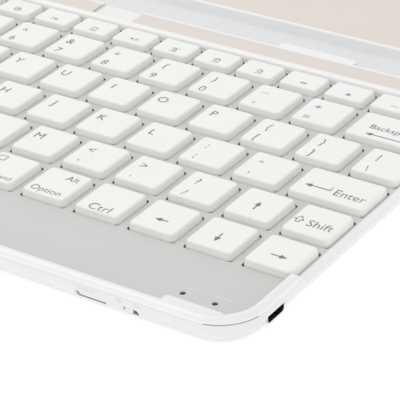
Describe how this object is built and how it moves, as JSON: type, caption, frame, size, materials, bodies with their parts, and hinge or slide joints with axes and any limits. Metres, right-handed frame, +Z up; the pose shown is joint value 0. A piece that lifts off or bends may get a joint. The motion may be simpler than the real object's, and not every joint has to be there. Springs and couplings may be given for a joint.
{
  "type": "tablet keyboard case",
  "caption": "Slim white tray-shaped tablet keyboard case with square island keys, a silver palm rest, a lipped front edge and a raised rear deck with a standing slot.",
  "frame": {"origin": "middle of the footprint, on the surface that the rubber feet stand on", "axes": "+X to the right along the keys, +Y from the palm rest to the rear, +Z up"},
  "size_m": [0.2468, 0.19, 0.0084],
  "materials": {
    "shell_white": "satin moulded",
    "frame_white": "soft gloss moulded",
    "deck_silver": "fine satin",
    "liner_grey": "matt",
    "lug_white": "matt",
    "inlay_beige": "short microfibre nap",
    "bumper_clear": "translucent silicone",
    "lens_dark": "smoked",
    "board_green": "solder mask",
    "tinned_steel": "tin plated",
    "black_plastic": "moulded",
    "control_white": "soft gloss moulded",
    "key_white": "fine matt",
    "film_clear": "polyester film",
    "dome_rubber": "silicone",
    "plate_steel": "galvanised",
    "cell_foil": "pouch foil",
    "flex_amber": "polyimide",
    "magnet_nickel": "nickel plated",
    "screw_steel": "zinc plated",
    "foot_rubber": "matt"
  },
  "bodies": {
    "case": {"bottom_shell": "shell_white", "top_frame": "frame_white", "deck_panel": "deck_silver", "slot_liner": "liner_grey", "slot_lugs": "lug_white", "front_inlays": "inlay_beige", "rear_inlay": "inlay_beige", "bumper_pads": "bumper_clear", "led_lenses": "lens_dark", "main_pcb": "board_green", "radio_module": "tinned_steel", "usb_shell": "tinned_steel", "usb_tongue": "black_plastic", "power_switch_body": "tinned_steel", "connect_tact_switch": "black_plastic", "membrane": "film_clear", "rubber_domes": "dome_rubber", "backing_plate": "plate_steel", "battery": "cell_foil", "battery_leads": "flex_amber", "slot_magnets": "magnet_nickel", "case_screws": "screw_steel", "rubber_feet": "foot_rubber"},
    "power_switch_knob": {"power_switch_knob": "control_white"},
    "connect_button": {"connect_button": "control_white"},
    "key_option": {"key_option": "key_white"},
    "key_ctrl": {"key_ctrl": "key_white"},
    "key_left": {"key_left": "key_white"},
    "key_down": {"key_down": "key_white"},
    "key_right": {"key_right": "key_white"},
    "key_m": {"key_m": "key_white"},
    "key_comma": {"key_comma": "key_white"},
    "key_period": {"key_period": "key_white"},
    "key_slash": {"key_slash": "key_white"},
    "key_up": {"key_up": "key_white"},
    "key_shift": {"key_shift": "key_white"},
    "key_j": {"key_j": "key_white"},
    "key_k": {"key_k": "key_white"},
    "key_l": {"key_l": "key_white"},
    "key_semicolon": {"key_semicolon": "key_white"},
    "key_quote": {"key_quote": "key_white"},
    "key_enter": {"key_enter": "key_white"},
    "key_u": {"key_u": "key_white"},
    "key_i": {"key_i": "key_white"},
    "key_o": {"key_o": "key_white"},
    "key_p": {"key_p": "key_white"},
    "key_bracket_open": {"key_bracket_open": "key_white"},
    "key_bracket_close": {"key_bracket_close": "key_white"},
    "key_backslash": {"key_backslash": "key_white"},
    "key_9": {"key_9": "key_white"},
    "key_0": {"key_0": "key_white"},
    "key_minus": {"key_minus": "key_white"},
    "key_equals": {"key_equals": "key_white"},
    "key_backspace": {"key_backspace": "key_white"},
    "keys_modifiers_left": {"keys_modifiers_left": "key_white"},
    "keys_lower_left": {"keys_lower_left": "key_white"},
    "keys_home_left": {"keys_home_left": "key_white"},
    "keys_upper_left": {"keys_upper_left": "key_white"},
    "keys_numbers_left": {"keys_numbers_left": "key_white"},
    "keys_function_row": {"keys_function_row": "key_white"}
  },
  "joints": [
    {"name": "power_switch_slide", "type": "slide", "parent": "case", "child": "power_switch_knob", "axis": [1, 0, 0], "range_m": [0, 0.0016]},
    {"name": "connect_button_press", "type": "slide", "parent": "case", "child": "connect_button", "axis": [0, 1, 0], "range_m": [0, 0.0004], "stiffness_N_per_m": 50},
    {"name": "key_option_press", "type": "slide", "parent": "case", "child": "key_option", "axis": [0, 0, -1], "range_m": [0, 0.0014], "stiffness_N_per_m": 250},
    {"name": "key_ctrl_press", "type": "slide", "parent": "case", "child": "key_ctrl", "axis": [0, 0, -1], "range_m": [0, 0.0014], "stiffness_N_per_m": 250},
    {"name": "key_left_press", "type": "slide", "parent": "case", "child": "key_left", "axis": [0, 0, -1], "range_m": [0, 0.0014], "stiffness_N_per_m": 250},
    {"name": "key_down_press", "type": "slide", "parent": "case", "child": "key_down", "axis": [0, 0, -1], "range_m": [0, 0.0014], "stiffness_N_per_m": 250},
    {"name": "key_right_press", "type": "slide", "parent": "case", "child": "key_right", "axis": [0, 0, -1], "range_m": [0, 0.0014], "stiffness_N_per_m": 250},
    {"name": "key_m_press", "type": "slide", "parent": "case", "child": "key_m", "axis": [0, 0, -1], "range_m": [0, 0.0014], "stiffness_N_per_m": 250},
    {"name": "key_comma_press", "type": "slide", "parent": "case", "child": "key_comma", "axis": [0, 0, -1], "range_m": [0, 0.0014], "stiffness_N_per_m": 250},
    {"name": "key_period_press", "type": "slide", "parent": "case", "child": "key_period", "axis": [0, 0, -1], "range_m": [0, 0.0014], "stiffness_N_per_m": 250},
    {"name": "key_slash_press", "type": "slide", "parent": "case", "child": "key_slash", "axis": [0, 0, -1], "range_m": [0, 0.0014], "stiffness_N_per_m": 250},
    {"name": "key_up_press", "type": "slide", "parent": "case", "child": "key_up", "axis": [0, 0, -1], "range_m": [0, 0.0014], "stiffness_N_per_m": 250},
    {"name": "key_shift_press", "type": "slide", "parent": "case", "child": "key_shift", "axis": [0, 0, -1], "range_m": [0, 0.0014], "stiffness_N_per_m": 250},
    {"name": "key_j_press", "type": "slide", "parent": "case", "child": "key_j", "axis": [0, 0, -1], "range_m": [0, 0.0014], "stiffness_N_per_m": 250},
    {"name": "key_k_press", "type": "slide", "parent": "case", "child": "key_k", "axis": [0, 0, -1], "range_m": [0, 0.0014], "stiffness_N_per_m": 250},
    {"name": "key_l_press", "type": "slide", "parent": "case", "child": "key_l", "axis": [0, 0, -1], "range_m": [0, 0.0014], "stiffness_N_per_m": 250},
    {"name": "key_semicolon_press", "type": "slide", "parent": "case", "child": "key_semicolon", "axis": [0, 0, -1], "range_m": [0, 0.0014], "stiffness_N_per_m": 250},
    {"name": "key_quote_press", "type": "slide", "parent": "case", "child": "key_quote", "axis": [0, 0, -1], "range_m": [0, 0.0014], "stiffness_N_per_m": 250},
    {"name": "key_enter_press", "type": "slide", "parent": "case", "child": "key_enter", "axis": [0, 0, -1], "range_m": [0, 0.0014], "stiffness_N_per_m": 250},
    {"name": "key_u_press", "type": "slide", "parent": "case", "child": "key_u", "axis": [0, 0, -1], "range_m": [0, 0.0014], "stiffness_N_per_m": 250},
    {"name": "key_i_press", "type": "slide", "parent": "case", "child": "key_i", "axis": [0, 0, -1], "range_m": [0, 0.0014], "stiffness_N_per_m": 250},
    {"name": "key_o_press", "type": "slide", "parent": "case", "child": "key_o", "axis": [0, 0, -1], "range_m": [0, 0.0014], "stiffness_N_per_m": 250},
    {"name": "key_p_press", "type": "slide", "parent": "case", "child": "key_p", "axis": [0, 0, -1], "range_m": [0, 0.0014], "stiffness_N_per_m": 250},
    {"name": "key_bracket_open_press", "type": "slide", "parent": "case", "child": "key_bracket_open", "axis": [0, 0, -1], "range_m": [0, 0.0014], "stiffness_N_per_m": 250},
    {"name": "key_bracket_close_press", "type": "slide", "parent": "case", "child": "key_bracket_close", "axis": [0, 0, -1], "range_m": [0, 0.0014], "stiffness_N_per_m": 250},
    {"name": "key_backslash_press", "type": "slide", "parent": "case", "child": "key_backslash", "axis": [0, 0, -1], "range_m": [0, 0.0014], "stiffness_N_per_m": 250},
    {"name": "key_9_press", "type": "slide", "parent": "case", "child": "key_9", "axis": [0, 0, -1], "range_m": [0, 0.0014], "stiffness_N_per_m": 250},
    {"name": "key_0_press", "type": "slide", "parent": "case", "child": "key_0", "axis": [0, 0, -1], "range_m": [0, 0.0014], "stiffness_N_per_m": 250},
    {"name": "key_minus_press", "type": "slide", "parent": "case", "child": "key_minus", "axis": [0, 0, -1], "range_m": [0, 0.0014], "stiffness_N_per_m": 250},
    {"name": "key_equals_press", "type": "slide", "parent": "case", "child": "key_equals", "axis": [0, 0, -1], "range_m": [0, 0.0014], "stiffness_N_per_m": 250},
    {"name": "key_backspace_press", "type": "slide", "parent": "case", "child": "key_backspace", "axis": [0, 0, -1], "range_m": [0, 0.0014], "stiffness_N_per_m": 250},
    {"name": "keys_modifiers_left_press", "type": "slide", "parent": "case", "child": "keys_modifiers_left", "axis": [0, 0, -1], "range_m": [0, 0.0014], "stiffness_N_per_m": 1000},
    {"name": "keys_lower_left_press", "type": "slide", "parent": "case", "child": "keys_lower_left", "axis": [0, 0, -1], "range_m": [0, 0.0014], "stiffness_N_per_m": 1000},
    {"name": "keys_home_left_press", "type": "slide", "parent": "case", "child": "keys_home_left", "axis": [0, 0, -1], "range_m": [0, 0.0014], "stiffness_N_per_m": 1000},
    {"name": "keys_upper_left_press", "type": "slide", "parent": "case", "child": "keys_upper_left", "axis": [0, 0, -1], "range_m": [0, 0.0014], "stiffness_N_per_m": 1000},
    {"name": "keys_numbers_left_press", "type": "slide", "parent": "case", "child": "keys_numbers_left", "axis": [0, 0, -1], "range_m": [0, 0.0014], "stiffness_N_per_m": 1000},
    {"name": "keys_function_row_press", "type": "slide", "parent": "case", "child": "keys_function_row", "axis": [0, 0, -1], "range_m": [0, 0.0014], "stiffness_N_per_m": 1000}
  ]
}
